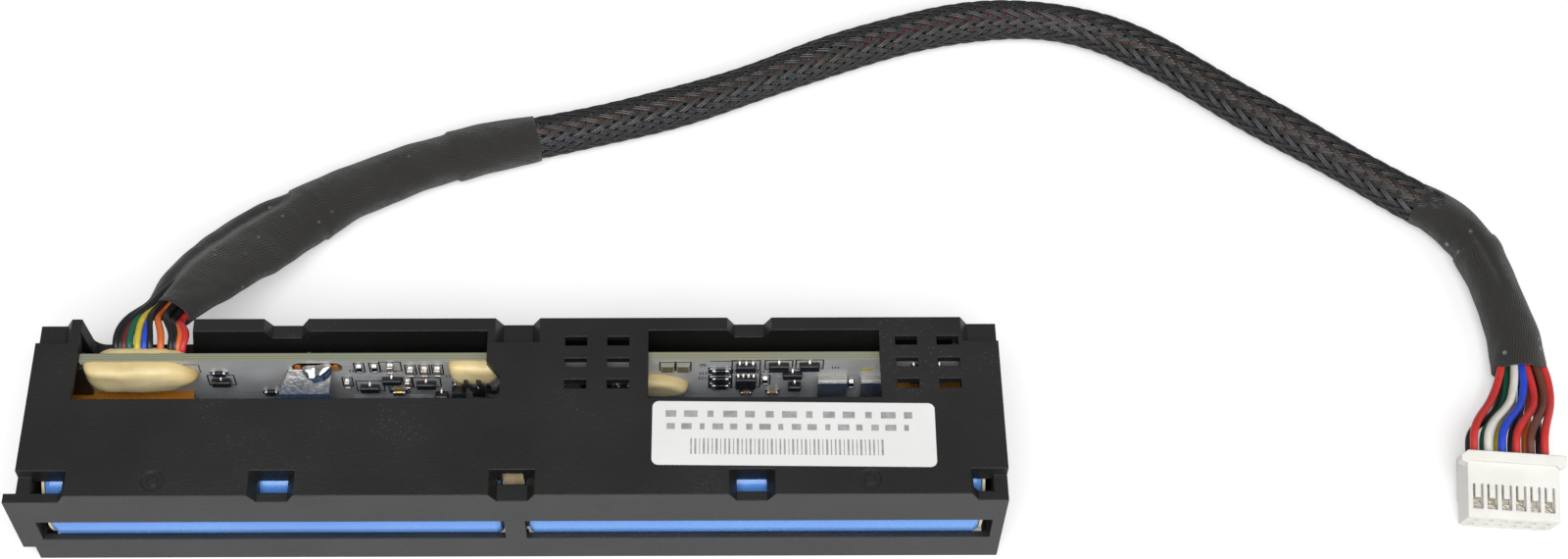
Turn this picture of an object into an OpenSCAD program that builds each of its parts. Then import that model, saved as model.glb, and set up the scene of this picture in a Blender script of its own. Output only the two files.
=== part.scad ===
/* [Housing] */
// Length of the moulded body, without the end tongue
body_l = 144; // [143.5:0.5:150]
// Depth of the body, front to back
body_w = 29.9; // [29.6:0.1:31]
// Height of the body
body_h = 19.9; // [19.8:0.1:20.6]
// Thickness of the front wall
front_wall = 1.5; // [1.2:0.1:1.7]
// Thickness of the rear wall
rear_wall = 2.2; // [1.8:0.1:2.4]
// Thickness of the two end walls
end_wall = 2; // [1.6:0.1:2.2]
// Thickness of the top wall
top_wall = 1.2; // [1:0.1:1.4]
// How far the front wall runs on past the left end
tongue_l = 1.8; // [1:0.1:3]

/* [Cells] */
// Diameter of a sleeved cell
cell_d = 18.3; // [17.9:0.1:18.3]
// Length of a sleeved cell
cell_l = 66.7; // [64:0.1:66.9]
// Gap between the facing ends of the two cells
cell_gap = 3.8; // [3.2:0.1:4]

/* [Circuit board] */
// Thickness of the board
board_t = 1.3; // [1:0.1:1.6]
// Length of the board
board_l = 133.6; // [130:0.1:135]
// Distance from the front of the housing to the face of the board
board_y = 23.3; // [23.1:0.1:23.6]
// Height of the board's upper edge
board_top = 18.7; // [18.4:0.1:18.9]

/* [Cable] */
// Diameter of the braided sleeve
sleeve_d = 6.6; // [5.5:0.1:7.5]
// Diameter of one insulated wire
wire_d = 1.3; // [1:0.1:1.4]

/* [Plug] */
// Width of the plug's body
plug_w = 13.6; // [13.2:0.1:15]
// Length of the plug from its rear face to its mating end
plug_l = 10.2; // [10:0.1:12]
// Thickness of the plug's body
plug_h = 6.2; // [6:0.1:6.6]
// Spacing of the terminals along the plug
plug_pitch = 2.12; // [2:0.01:2.2]

/* [Hidden] */
$fn = 48;
eps = 0.01;

// The box of body and tongue is centred on the origin, and the body stands on z = 0
mid = tongue_l / 2;
left = mid - body_l / 2;
right = mid + body_l / 2;
front = -body_w / 2;
back = body_w / 2;

// Notches along both long upper edges
notch_pitch = 34.8;
notch_w = 6.7;
notch_floor_w = 4.4;
notch_d = 2;
notch_y = 4.15;
notch_z = body_h - notch_d;
// The four corner notches run out through the ends, so only their inner edge counts
corner_front_left = 64.6;
corner_rear_left = 67;
corner_right = 66.5;

// Wells under the front notches: the two end ones, and the ledge in front of the middle one
well_w = [4.9, 3.2];
well_ledge = 1.3;
rib_margin = 1.2;

// Windows and vents in the top
window_front = front + 16.1;
window_back = back - rear_wall;
window_left = [mid - 65.6, mid - 4.45];
window_jog = 2.1;
window_right = [mid + 19.65, mid + 54.2];
vent_w = 3.3;
vent_y = 1.55;
vent_x = [8.85, 15.15, 58.2, 64.4];
vent_row = [18.46, 22.1, 25.84];

// The low cut in the rear wall that the cable leaves through
exit_x = [mid - 65.5, mid - 48.7];
exit_z = 12.55;
exit_slope = 1.1;

// Front slots that show the cells
slot_z = [6.05, 11.65];
post_w = 3.1;
post_y = 3.3;
slot_end = 70.3;
tongue_z = 3.7;

// Cells
cell_r = cell_d / 2;
cell_y = front + 9.6;
cell_z = 9.25;
saddle_t = 2;
saddle_mouth = 10.4;
saddle_low = 7;
floor_t = 1.2;
bay_y = front + 20;

// Board
board_face = front + board_y;
board_z = floor_t;
board_back = board_face + board_t;
board_x = mid - board_l / 2 + 1.3;
rail = 0.8;
rail_z = 10;
rail_l = [5.1, 2.5];
glue_rear_d = 1.7;
glue_middle_d = 1.8;

// Route of the cable: the near wrap, the braid and the far wrap, at the middle of the bundle
near_route = [
    [-53, 19.5, 14.6], [-50.5, 25, 12.6], [-47, 31, 9.6], [-42.5, 37.5, 6.4], [-37, 43, 4.2],
    [-30.5, 48, 3.5], [-23, 52, 3.4], [-15, 55.5, 3.3], [-6.9, 58.1, 3.3], [1.5, 60.2, 3.3]
];
near_size = [
    [7.6, 5.2], [10, 5.4], [12, 5.6], [12.4, 6], [11, 6.6],
    [9.4, 6.6], [8.6, 6.6], [8.4, 6.6], [8.2, 6.6], [7.4, 6.6]
];
sleeve_route = [
    [1.5, 60.2, 3.3], [13.5, 63.2, 3.3], [26, 67, 3.3], [37.5, 71.5, 3.3], [49, 76.5, 3.3],
    [60.5, 80.8, 3.3], [72.5, 84, 3.3], [85, 84.8, 3.3], [97, 82, 3.3], [107.5, 75.8, 3.3],
    [117, 68.2, 3.3], [127, 60.6, 3.3], [137.5, 52.6, 3.3], [145.5, 46.6, 3.3]
];
far_route = [
    [145.5, 46.6, 3.3], [149.5, 43.6, 3.3], [153, 37.6, 3.5], [155.2, 29.8, 3.5],
    [156.4, 21.8, 3.2], [156.4, 14.8, 3.2]
];
far_size = [[7, 6.6], [7.4, 6.6], [7.4, 7], [7.4, 7], [8, 6.4], [8.8, 5.4]];

// Plug
plug_rear = [150.6, -1.9, 6.1];
plug_turn = -4.5;
plug_tilt = 15.5;
ledge_l = 1.6;
ledge_out = 1;
ledge_h = 2.4;
ledge_rise = 0.5;
key_x = [-3.2, 1.9];
key_w = 3.6;
key_l = 4.6;
key_h = 0.35;
bevel = 0.8;
contacts = 6;
row_z = 1.3;

// Windows over the terminals, the white lance in each, and the cavities and holes below
window_y = 1.4;
window_w = 1.5;
window_l = 3.8;
window_d = 0.9;
lance_w = 0.86;
lance_l = 2.1;
lance_t = 0.45;
cavity_w = 1.2;
hole_w = 0.9;
hook_l = 0.9;
// Where each column's wires pass half way between the wrap and the plug, upper row and lower row
wire_half = [[149.5, 152.6, 154.4, 156.5, 158.1, 159.1], [151, 151.7, 153.4, 155, 156.4, 157.8]];

// ---------- helpers ----------

// A flat plate with round corners, standing on z = 0
module rounded_plate(w, h, r, t) {
    linear_extrude(t) {
        square([w - 2 * r, h], center = true);
        square([w, h - 2 * r], center = true);
        for (x = [-1, 1], y = [-1, 1])
            translate([x * (w / 2 - r), y * (h / 2 - r)]) circle(r);
    }
}

// Extrudes an outline drawn in X and Z along Y, from y = 0 towards +Y
module along_y(length) {
    translate([0, length, 0]) rotate([90, 0, 0]) linear_extrude(length) children();
}

// Extrudes an outline drawn in Y and Z along X, from x = 0 towards +X
module along_x(length) {
    rotate([90, 0, 90]) linear_extrude(length) children();
}

// A sweep of an oval ring along points; sizes gives each ring's width and height
function unit(v) = v / norm(v);
function tangent(p, i) = unit(p[min(i + 1, len(p) - 1)] - p[max(i - 1, 0)]);
function ring(p, i, size, sides) =
    let (t = tangent(p, i), side = unit(cross(t, [0, 0, 1])), up = cross(side, t))
    [for (k = [0 : sides - 1])
        let (a = 360 * (k + 0.5) / sides, c = 1 / cos(180 / sides))
        p[i] + side * cos(a) * c * size[0] / 2 + up * sin(a) * c * size[1] / 2];
module sweep(p, sizes, sides = 8) {
    n = len(p);
    rings = [for (i = [0 : n - 1]) each ring(p, i, sizes[i], sides)];
    skin = [for (i = [0 : n - 2], k = [0 : sides - 1])
        let (a = i * sides + k, b = i * sides + (k + 1) % sides)
        each [[a, b, b + sides], [a, b + sides, a + sides]]];
    caps = [
        [for (k = [sides - 1 : -1 : 0]) k],
        [for (k = [0 : sides - 1]) (n - 1) * sides + k]
    ];
    polyhedron(rings, concat(skin, caps), convexity = 6);
}
function same(n, d) = [for (i = [1 : n]) [d, d]];

// ---------- housing ----------

// Outline of a notch in the upper edge, drawn in X and Z
module notch_outline(w = notch_w, floor_w = notch_floor_w) {
    polygon([
        [-w / 2, body_h], [-floor_w / 2, notch_z], [floor_w / 2, notch_z], [w / 2, body_h],
        [w / 2, body_h + 1], [-w / 2, body_h + 1]
    ]);
}

// A corner notch: slanting inner end at x = 0, running out towards +X
module corner_outline() {
    slant = (notch_w - notch_floor_w) / 2;
    polygon([
        [0, body_h], [slant, notch_z], [12, notch_z], [12, body_h + 1], [0, body_h + 1]
    ]);
}

module notch_cuts() {
    for (k = [-1 : 1]) {
        translate([mid + k * notch_pitch, front - 1, 0]) along_y(notch_y + 1) notch_outline();
        translate([mid + k * notch_pitch, back - notch_y, 0]) along_y(notch_y + 1) notch_outline();
    }
    translate([mid + corner_right, front - 1, 0]) along_y(notch_y + 1) corner_outline();
    translate([mid + corner_right, back - notch_y, 0]) along_y(notch_y + 1) corner_outline();
    translate([mid - corner_front_left, front - 1, 0])
        mirror([1, 0, 0]) along_y(notch_y + 1) corner_outline();
    translate([mid - corner_rear_left, back - notch_y, 0])
        mirror([1, 0, 0]) along_y(notch_y + 1) corner_outline();
}

// Wells under the front notches, which open onto the cells
module notch_wells() {
    deep = notch_y - front_wall;
    for (k = [-1, 1])
        translate([mid + k * notch_pitch - notch_floor_w / 2, front + front_wall, cell_z])
            cube([notch_floor_w, deep, body_h]);
    translate([mid - notch_floor_w / 2, front + front_wall + well_ledge, cell_z])
        cube([notch_floor_w, deep - well_ledge, body_h]);
    translate([left + end_wall, front + front_wall, cell_z]) cube([well_w[0], deep, body_h]);
    translate([right - end_wall - well_w[1], front + front_wall, cell_z])
        cube([well_w[1], deep, body_h]);
}

module top_windows() {
    high = 5;
    low = body_h - top_wall - 1;
    translate([0, 0, low]) linear_extrude(high) {
        polygon([
            [window_left[0], window_front], [window_left[1] + window_jog, window_front],
            [window_left[1] + window_jog, window_front + 3.7], [window_left[1], window_front + 6.3],
            [window_left[1], window_back], [window_left[0], window_back]
        ]);
        polygon([
            [window_right[0], window_front], [window_right[1], window_front],
            [window_right[1], window_back], [window_right[0], window_back]
        ]);
        for (x = vent_x, y = vent_row)
            translate([mid + x - vent_w / 2, front + y - vent_y / 2]) square([vent_w, vent_y]);
    }
}

// The low cut for the cable, with a round lower left corner
module exit_cut() {
    r = 2;
    translate([0, window_back - 1, 0]) along_y(rear_wall + 2) {
        polygon([
            [exit_x[0], body_h + 1], [exit_x[0], body_h], [exit_x[0] + 0.5, exit_z + r],
            [exit_x[0] + 0.5 + r, exit_z], [exit_x[1] - exit_slope, exit_z],
            [exit_x[1], body_h], [exit_x[1], body_h + 1]
        ]);
        intersection() {
            translate([exit_x[0] + 0.5 + r, exit_z + r]) circle(r);
            translate([exit_x[0] + 0.5, exit_z]) square([r, r]);
        }
    }
}

// Round sunk marks of the moulding tool, each with a nub
module gate_marks() {
    for (s = [-1, 1])
        translate([mid + s * 51.9, front + 2.45, body_h - 0.25])
            difference() {
                cylinder(d = 3.3, h = 1);
                translate([0, 0, -1]) cylinder(d = 1.5, h = 1.2);
            }
}

module cell_axis(length) {
    rotate([0, 90, 0]) cylinder(r = cell_r, h = length, $fn = 96);
}

// The outer walls with the open tray inside
module housing_shell() {
    difference() {
        union() {
            translate([left, front, 0]) cube([body_l, body_w, body_h]);
            translate([left - tongue_l, front, tongue_z])
                cube([tongue_l + 1, front_wall, notch_z - tongue_z]);
        }
        translate([left + end_wall, front + front_wall, -1])
            cube([body_l - 2 * end_wall, body_w - front_wall - rear_wall, body_h - top_wall + 1]);
    }
}

// Saddles that grip the cells, low behind the cells where the windows look past them
module saddles() {
    inner_top = body_h - top_wall + eps;
    for (x = [-58, -45, -22, -9.5, 9.5, 22, 45, 58])
        translate([mid + x - saddle_t / 2, 0, 0]) along_x(saddle_t)
            polygon([
                [front + front_wall - eps, 0], [bay_y + eps, 0], [bay_y + eps, saddle_low],
                [window_front, saddle_low], [window_front, inner_top],
                [front + front_wall - eps, inner_top]
            ]);
}

// The walls round the notches' wells, the centre rib, the floor and the board's rails
module inner_ribs() {
    well_z = cell_z + 3;
    well_top = body_h - top_wall + eps;
    for (k = [-2 : 2]) {
        from = max(left + end_wall - eps, mid + k * notch_pitch - notch_w / 2);
        to = min(right - end_wall + eps, mid + k * notch_pitch + notch_w / 2 + rib_margin);
        translate([from, front + front_wall - eps, well_z])
            cube([to - from, notch_y - front_wall + 1, well_top - well_z]);
    }
    // floors of the rear notches that no window opens into
    for (x = [
        [left + end_wall - eps, mid - corner_rear_left + rib_margin],
        [mid - notch_w / 2 - rib_margin, mid + notch_w / 2 + rib_margin],
        [mid + corner_right - rib_margin, right - end_wall + eps]
    ])
        translate([x[0], back - notch_y - rib_margin / 2, notch_z - rib_margin])
            cube([x[1] - x[0], notch_y + rib_margin / 2 - rear_wall + eps, well_top - notch_z + rib_margin]);
    translate([mid - post_w / 2, front + front_wall - eps, 0])
        cube([post_w, post_y - front_wall, well_top]);
    translate([left + end_wall - eps, bay_y, 0])
        cube([body_l - 2 * end_wall + 2 * eps, back - rear_wall - bay_y + eps, floor_t]);
    for (y = [board_face - rail, board_back]) {
        translate([left + end_wall - eps, y, rail_z]) cube([rail_l[0], rail, board_top - rail_z - 1]);
        translate([right - end_wall - rail_l[1] + eps, y, rail_z])
            cube([rail_l[1], rail, board_top - rail_z - 1]);
    }
}

module housing() {
    color([0.13, 0.13, 0.125])
    difference() {
        union() {
            housing_shell();
            saddles();
            inner_ribs();
        }
        // bores that the cells lie in, and the mouths they snap through
        for (s = [-1, 1]) {
            start = s < 0 ? left + end_wall : mid + cell_gap / 2 - 0.6;
            length = slot_end - cell_gap / 2 + 0.3;
            translate([start, cell_y, cell_z]) cell_axis(length);
            translate([start, cell_y - saddle_mouth / 2, -1]) cube([length, saddle_mouth, 4]);
            slot_x = s < 0 ? mid - slot_end : mid + post_w / 2;
            translate([slot_x, front - 1, slot_z[0]])
                cube([slot_end - post_w / 2, front_wall + 1.6, slot_z[1] - slot_z[0]]);
        }
        translate([mid - post_w / 2 - eps, front + post_y, -1])
            cube([post_w + 2 * eps, 4, body_h - top_wall + 1]);
        notch_cuts();
        notch_wells();
        top_windows();
        exit_cut();
        gate_marks();
    }
}

// ---------- cells and their nickel ----------

// Half outline of a sleeved cell, turned about its axis: sleeve, rolled ends and the cap
module cell(cap_end) {
    edge = 0.9;
    lip = 2.2;
    sink = 0.5;
    half = [
        [0, sink], [cell_r - lip, sink], [cell_r - lip, 0],
        [cell_r - edge, 0], [cell_r - edge * 0.3, edge * 0.3], [cell_r, edge],
        [cell_r, cell_l - edge], [cell_r - edge * 0.3, cell_l - edge * 0.3],
        [cell_r - edge, cell_l], [cell_r - lip, cell_l], [cell_r - lip, cell_l - sink],
        [3.2, cell_l - sink], [2.9, cell_l - 0.05], [0, cell_l - 0.05]
    ];
    place = cap_end > 0 ? 0 : cell_l;
    translate([place, 0, 0]) rotate([0, cap_end * 90, 0]) rotate_extrude($fn = 96) polygon(half);
}

module cell_left() {
    color([0.35, 0.58, 0.92])
    translate([mid - cell_gap / 2 - cell_l, cell_y, cell_z]) cell(1);
}

module cell_right() {
    color([0.35, 0.58, 0.92])
    translate([mid + cell_gap / 2, cell_y, cell_z]) cell(1);
}

cell_end = cell_gap / 2 + cell_l;
nickel_t = 0.3;
insulator_t = 0.4;

// Paper rings between the cells' outer ends and their tabs
module cell_insulators() {
    color([0.88, 0.84, 0.7])
    for (s = [-1, 1])
        translate([mid + s * cell_end - (s < 0 ? insulator_t : 0), cell_y, cell_z])
            rotate([0, 90, 0])
            difference() {
                cylinder(r = cell_r - 0.5, h = insulator_t, $fn = 96);
                translate([0, 0, -1]) cylinder(r = 3.4, h = 3);
            }
}

// Folded paper pad between the two cells, cut flat in front where the housing's rib stands
module cell_spacer() {
    color([0.66, 0.58, 0.42])
    difference() {
        translate([mid - cell_gap / 2 + nickel_t, cell_y, cell_z])
            rotate([0, 90, 0]) cylinder(r = cell_r - 0.6, h = cell_gap - 2 * nickel_t, $fn = 96);
        translate([mid - cell_gap, front, 0]) cube([2 * cell_gap, post_y, body_h]);
    }
}

// Nickel strip that joins the facing ends of the cells round the back of the pad
module link_tab() {
    high = 6;
    reach = cell_r + 0.4;
    color([0.78, 0.78, 0.76])
    translate([mid, cell_y, cell_z - high / 2])
        linear_extrude(high) {
            for (s = [-1, 1])
                translate([s * (cell_gap / 2 - nickel_t / 2) - nickel_t / 2, -3])
                    square([nickel_t, reach + 3]);
            translate([-cell_gap / 2, reach]) square([cell_gap, nickel_t]);
        }
}

// Strip on a cell's outer end, led back to the board and turned in flat against its face
module end_tab(s) {
    x = cell_end + insulator_t;
    turned = 9;
    high = 7;
    translate([mid, cell_y, cell_z - high])
        linear_extrude(high) {
            translate([s > 0 ? x : -x - nickel_t, -4])
                square([nickel_t, board_face - cell_y + 4]);
            translate([s > 0 ? x - turned + nickel_t : -x - nickel_t, board_face - cell_y - nickel_t])
                square([turned, nickel_t]);
        }
}

module end_tab_left() {
    color([0.78, 0.78, 0.76]) end_tab(-1);
}

module end_tab_right() {
    color([0.78, 0.78, 0.76]) end_tab(1);
}

// ---------- circuit board ----------

// The slotted hole that the long tab is soldered through
tab_hole = [-29.2, 16.6];
tab_hole_w = 7.6;
tab_hole_h = 2.6;

// A slot with round ends, drawn flat
module rounded_slot(c, w, h) {
    translate(c) {
        square([w - h, h], center = true);
        for (s = [-1, 1]) translate([s * (w - h) / 2, 0]) circle(d = h);
    }
}

module circuit_board() {
    color([0.42, 0.43, 0.42])
    translate([0, board_face, 0]) along_y(board_t)
        difference() {
            translate([board_x, board_z]) square([board_l, board_top - board_z]);
            rounded_slot(tab_hole, tab_hole_w, tab_hole_h);
            translate([28.7, 16.9]) circle(d = 1.1, $fn = 24);
        }
}

// Front line of the long tab in Y and Z: down the slope, then straight down
tab_top = [board_face - 0.3, 16.4];
tab_bend = [board_face - 2.8, 13.5];
tab_foot = 3;

// Long nickel tab: soldered over the hole, sloping forward, then down behind the cell.
// It widens towards its left side as it comes down.
module board_tab() {
    color([0.8, 0.8, 0.78])
    intersection() {
        translate([tab_hole[0] - 8, 0, 0]) along_x(16)
            polygon([
                [board_face, tab_top[1]], tab_top, tab_bend, [tab_bend[0], tab_foot],
                [tab_bend[0] + nickel_t, tab_foot], [tab_bend[0] + nickel_t, tab_bend[1] - 0.1],
                [board_face, tab_top[1] - nickel_t]
            ]);
        translate([0, front, 0]) along_y(body_w)
            polygon([
                [-26.6, board_top], [-27.6, tab_bend[1]], [-27.6, 0],
                [-35.2, 0], [-35.2, tab_bend[1]], [-32.2, board_top]
            ]);
    }
}

// The pool of solder on the tab's slope
module board_tab_solder() {
    color([0.85, 0.85, 0.84])
    difference() {
        translate([tab_hole[0] + 0.1, board_face - 0.5, 15.3]) sphere(d = 3.4);
        translate([tab_hole[0] - 5, 0, 0]) along_x(10)
            polygon([
                [back, body_h], [tab_top[0], body_h], tab_top, tab_bend,
                [tab_bend[0], tab_foot], [back, tab_foot]
            ]);
    }
}

// Two small nickel tabs soldered flat on the board near its right end
module nickel_tabs() {
    tab_h = 4.6;
    color([0.8, 0.8, 0.78])
    for (x = [46.1, 52.6])
        translate([x, 0, 0]) along_x(x < 50 ? 4.4 : 3.6)
            polygon([
                [board_face, 13.8], [board_face - 0.9, 13.8], [board_face - 1.2, 13.5],
                [board_face - 1.2, 13.8 - tab_h], [board_face - 0.9, 13.8 - tab_h],
                [board_face - 0.9, 13.5], [board_face, 13.5]
            ]);
}

// A chip part with two soldered ends, its long side across unless turned
module chip(w, h, d, turned = false) {
    rotate([0, turned ? 90 : 0, 0])
    translate([-w / 2, -d, -h / 2]) {
        translate([w * 0.2, 0.05, 0.03]) cube([w * 0.6, d - 0.05, h - 0.06]);
        cube([w * 0.22, d, h]);
        translate([w * 0.78, 0, 0]) cube([w * 0.22, d, h]);
    }
}

// Puts children on the face of the board at [x, z] of each place
module on_board(places) {
    for (p = places)
        translate([p[0], board_face, p[1]]) children();
}

module chip_resistors() {
    color([0.12, 0.12, 0.12]) {
        on_board([[31.35, 15.4], [31.35, 13.1], [31.35, 11.1]]) chip(2.5, 1.25, 0.55);
        on_board([[-20.6, 16.6], [-22.9, 16.6], [38.1, 12.7], [51.2, 11.7]])
            chip(1.6, 0.85, 0.5, true);
        on_board([[-44.1, 15.2], [-37, 9.6], [10, 14.4], [16.6, 11]]) chip(2, 1.2, 0.55);
    }
}

module chip_capacitors() {
    color([0.62, 0.52, 0.4]) {
        on_board([[-15.25, 15.9], [-13.15, 15.9], [-11.2, 15.9], [-18.2, 16.9]])
            chip(1.7, 0.95, 0.85, true);
        on_board([[-25.1, 12.4], [-16, 12.3]]) chip(1.6, 0.8, 0.8, true);
        on_board([[35.3, 9.7], [39.3, 9.7], [-8.2, 12.4]]) chip(1.6, 0.85, 0.8);
    }
}

// A three-leg part: two legs below and one above
module transistor() {
    translate([-1.45, -1, -0.65]) cube([2.9, 0.9, 1.3]);
    for (x = [-0.95, 0.95])
        translate([x - 0.2, -0.35, -1.2]) cube([0.4, 0.35, 0.7]);
    translate([-0.2, -0.35, 0.5]) cube([0.4, 0.35, 0.7]);
}

module transistors() {
    color([0.1, 0.1, 0.1])
    on_board([[-44.1, 13], [-21.8, 11.1], [-13.2, 12.1], [-18.3, 13.3], [42.2, 14.7]])
        transistor();
}

// A small package with legs along its upper and lower sides
module small_chip(w, h, d, legs) {
    translate([-w / 2, -d, -h / 2]) cube([w, d - 0.1, h]);
    for (i = [0 : legs - 1], s = [-1, 1])
        translate([(i - (legs - 1) / 2) * w / legs - 0.15, -0.4, s * (h / 2 + 0.15) - 0.3])
            cube([0.3, 0.4, 0.6]);
}

module control_chips() {
    color([0.1, 0.1, 0.1]) {
        on_board([[35.2, 16.9], [40.1, 17.1], [44.7, 17.15]]) small_chip(3, 1.5, 0.95, 3);
        on_board([[35.2, 12.6]]) small_chip(3.1, 2.8, 1, 4);
        on_board([[12.6, 11.2], [62.2, 15.2]]) small_chip(4.6, 4.2, 1.2, 6);
    }
}

module diodes() {
    color([0.3, 0.3, 0.3])
    on_board([[-5.4, 10.2], [-11.1, 9], [42.6, 11.6]])
        translate([0, -1, 0]) {
            cube([1.9, 1.4, 1.2], center = true);
            translate([0, 0.85, 0]) cube([2.3, 0.3, 0.9], center = true);
        }
}

module inductor() {
    color([0.14, 0.14, 0.15])
    translate([-8.4, board_face, 10.4]) rotate([90, 0, 0]) {
        cylinder(d = 2.2, h = 0.4);
        cylinder(d = 1.6, h = 1.4);
        translate([0, 0, 1.2]) cylinder(d = 2.2, h = 0.4);
    }
}

// Two square parts side by side
module square_parts() {
    color([0.45, 0.44, 0.34])
    on_board([[23.4, 16.7], [25.75, 16.7]])
        translate([0, -0.35, 0]) cube([2, 0.7, 2], center = true);
}

module gold_part() {
    color([0.75, 0.6, 0.3])
    on_board([[-17.5, 9.9]]) translate([0, -0.4, 0]) cube([1.4, 0.8, 1], center = true);
}

// Solder standing proud on the far side of the board
module rear_solder() {
    color([0.8, 0.8, 0.8])
    for (x = [-30.4, -27.6, -21.5])
        translate([x, board_face + board_t, 17.4])
            rotate([-90, 0, 0]) cylinder(d1 = 1.5, d2 = 0.7, h = 0.8, $fn = 24);
}

// ---------- glue and tape ----------

// A pillow of set glue on one face of the board: its foot at y = 0, swelling towards -Y
module glue_pillow(w, h, d) {
    r = min(h * 0.3, d * 0.48);
    hull() {
        translate([-w / 2 + r * 0.6, -0.1, -h / 2 + r * 0.6]) cube([w - r * 1.2, 0.1, h - r * 1.2]);
        for (x = [-1, 1], z = [-1, 1])
            translate([x * (w / 2 - r), -d + r, z * (h / 2 - r)]) sphere(r = r, $fn = 20);
    }
}

module glue_wires_front() {
    color([0.9, 0.84, 0.66])
    translate([-55.5, board_face, 15.1]) glue_pillow(16.6, 6.8, 2.8);
}

// The glue behind the board has a flat back, which the wires leave
module glue_wires_rear() {
    color([0.9, 0.84, 0.66])
    translate([-56.2, board_back, 15.6])
        hull() {
            translate([-6.6, 0, -3]) cube([13.2, 0.1, 5.6]);
            translate([-6.2, glue_rear_d - 0.1, -1.2]) cube([12.4, 0.1, 3]);
        }
}

module glue_middle() {
    color([0.9, 0.84, 0.66])
    translate([-5.6, board_face, 15.9]) glue_pillow(7.6, 5.4, glue_middle_d);
}

module glue_right() {
    color([0.9, 0.84, 0.66])
    translate([22.4, board_face, 12.2]) glue_pillow(8, 4.6, 1.9);
}

// Amber film laid level from the board's face towards the cell
module film(x, w, z) {
    color([0.74, 0.45, 0.1])
    translate([x, board_face - 3.8, z]) cube([w, 3.8, 0.15]);
}

module film_tape_left() {
    film(-67.4, 18.6, 9.6);
}

module film_tape_right() {
    film(57.2, 10.5, 11.9);
}

// Two thin leads that leave the middle glue and run down onto the board
module sense_wires() {
    lead = 0.7;
    color([0.08, 0.08, 0.08])
    for (x = [-6.9, -5])
        sweep([
            [x, board_face - glue_middle_d, 15.6], [x, board_face - glue_middle_d - 0.5, 15.6],
            [x + 1.2, board_face - 2.6, 14], [x + 2.4, board_face - 2, 12.6],
            [x + 3.1, board_face - lead * 0.6, 11.4]
        ], same(5, lead));
}

module rating_label() {
    color([0.94, 0.94, 0.93])
    translate([mid + 41, front + 9.9, body_h])
        rotate([0, 0, -0.73]) rounded_plate(41.5, 10.6, 1, 0.1);
}

// ---------- cable ----------

bundle = 12;

// The wrap's mouth: the direction it faces and the two directions across it
mouth = tangent(near_route, 0);
mouth_side = unit(cross(mouth, [0, 0, 1]));
mouth_up = cross(mouth_side, mouth);

// Each wire leaves the flat back of the glue and ends on the face of the wrap's mouth
function board_wire(k) =
    let (
        s = k / (bundle - 1), row = k % 2,
        start = [-60 + 10.6 * s, board_back + glue_rear_d, 15.1 + row * 1.4],
        end = near_route[0] + mouth_side * (3.2 - 6.4 * s) * -1 + mouth_up * (row * 1.3 - 0.65)
    )
    [
        start, start + [0, 0.8, 0],
        [-59.4 + 10.2 * s, back - 0.9, 16.2 + row * 1.4],
        [-57.6 + 8 * s, 16.4, 15.7 + row * 1.3],
        end - mouth, end
    ];

module wires_board() {
    color([0.2, 0.2, 0.2])
    for (k = [0 : bundle - 1])
        sweep(board_wire(k), same(6, wire_d * 0.8));
}

module wrap_near() {
    color([0.17, 0.165, 0.16]) sweep(near_route, near_size, 12);
}

module braided_sleeve() {
    color([0.1, 0.1, 0.1])
        sweep(sleeve_route, same(len(sleeve_route), sleeve_d), 12);
}

module wrap_far() {
    color([0.17, 0.165, 0.16]) sweep(far_route, far_size, 12);
}

// ---------- plug ----------

// Places children in the plug's own frame: rear face at y = 0, mating end towards -Y
module at_plug() {
    translate(plug_rear) rotate([0, 0, plug_turn]) rotate([plug_tilt, 0, 0]) children();
}

function plug_point(p) =
    let (
        c = cos(plug_tilt), s = sin(plug_tilt), ct = cos(plug_turn), st = sin(plug_turn),
        q = [p[0], p[1] * c - p[2] * s, p[1] * s + p[2] * c]
    )
    plug_rear + [q[0] * ct - q[1] * st, q[0] * st + q[1] * ct, q[2]];

// Wires from the far wrap's mouth, spread out into two rows at the plug
function plug_wire(k) =
    let (
        col = floor(k / 2), row = k % 2, c = col - (contacts - 1) / 2,
        z = row == 0 ? row_z : -row_z,
        start = far_route[len(far_route) - 1] + [c * 1.38, 0, z * 0.7]
    )
    [
        start, start - [0, 0.8, 0],
        [(start[0] + wire_half[row][col]) / 2 + 0.3, 11.3, 3.6 + z * 0.85],
        [wire_half[row][col], 7.6, 4.3 + z * 0.95],
        plug_point([c * plug_pitch, 4, z]),
        plug_point([c * plug_pitch, 1.2, z]),
        plug_point([c * plug_pitch, 0, z])
    ];

module wires_plug() {
    color([0.8, 0.2, 0.2])
    for (k = [0 : 2 * contacts - 1])
        sweep(plug_wire(k), same(7, wire_d));
}

// Puts children at each contact: above in the upper row, turned over in the lower row
module at_contacts() {
    for (c = [0 : contacts - 1], s = [0, 1])
        translate([(c - (contacts - 1) / 2) * plug_pitch, -plug_l, 0])
            mirror([0, 0, s]) translate([0, 0, row_z]) children();
}

// The ledge along the rear upper edge, which stands out past both ends
module plug_ledge() {
    half = plug_w / 2;
    translate([0, 0, plug_h / 2 + ledge_rise - ledge_h]) linear_extrude(ledge_h)
        polygon([
            [-half, 0], [-half - ledge_out, -ledge_l / 2], [-half - ledge_out, -ledge_l],
            [-half, -ledge_l - ledge_rise], [-half + ledge_rise, -ledge_l],
            [half - ledge_rise, -ledge_l], [half, -ledge_l - ledge_rise],
            [half + ledge_out, -ledge_l], [half + ledge_out, 0]
        ]);
}

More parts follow.
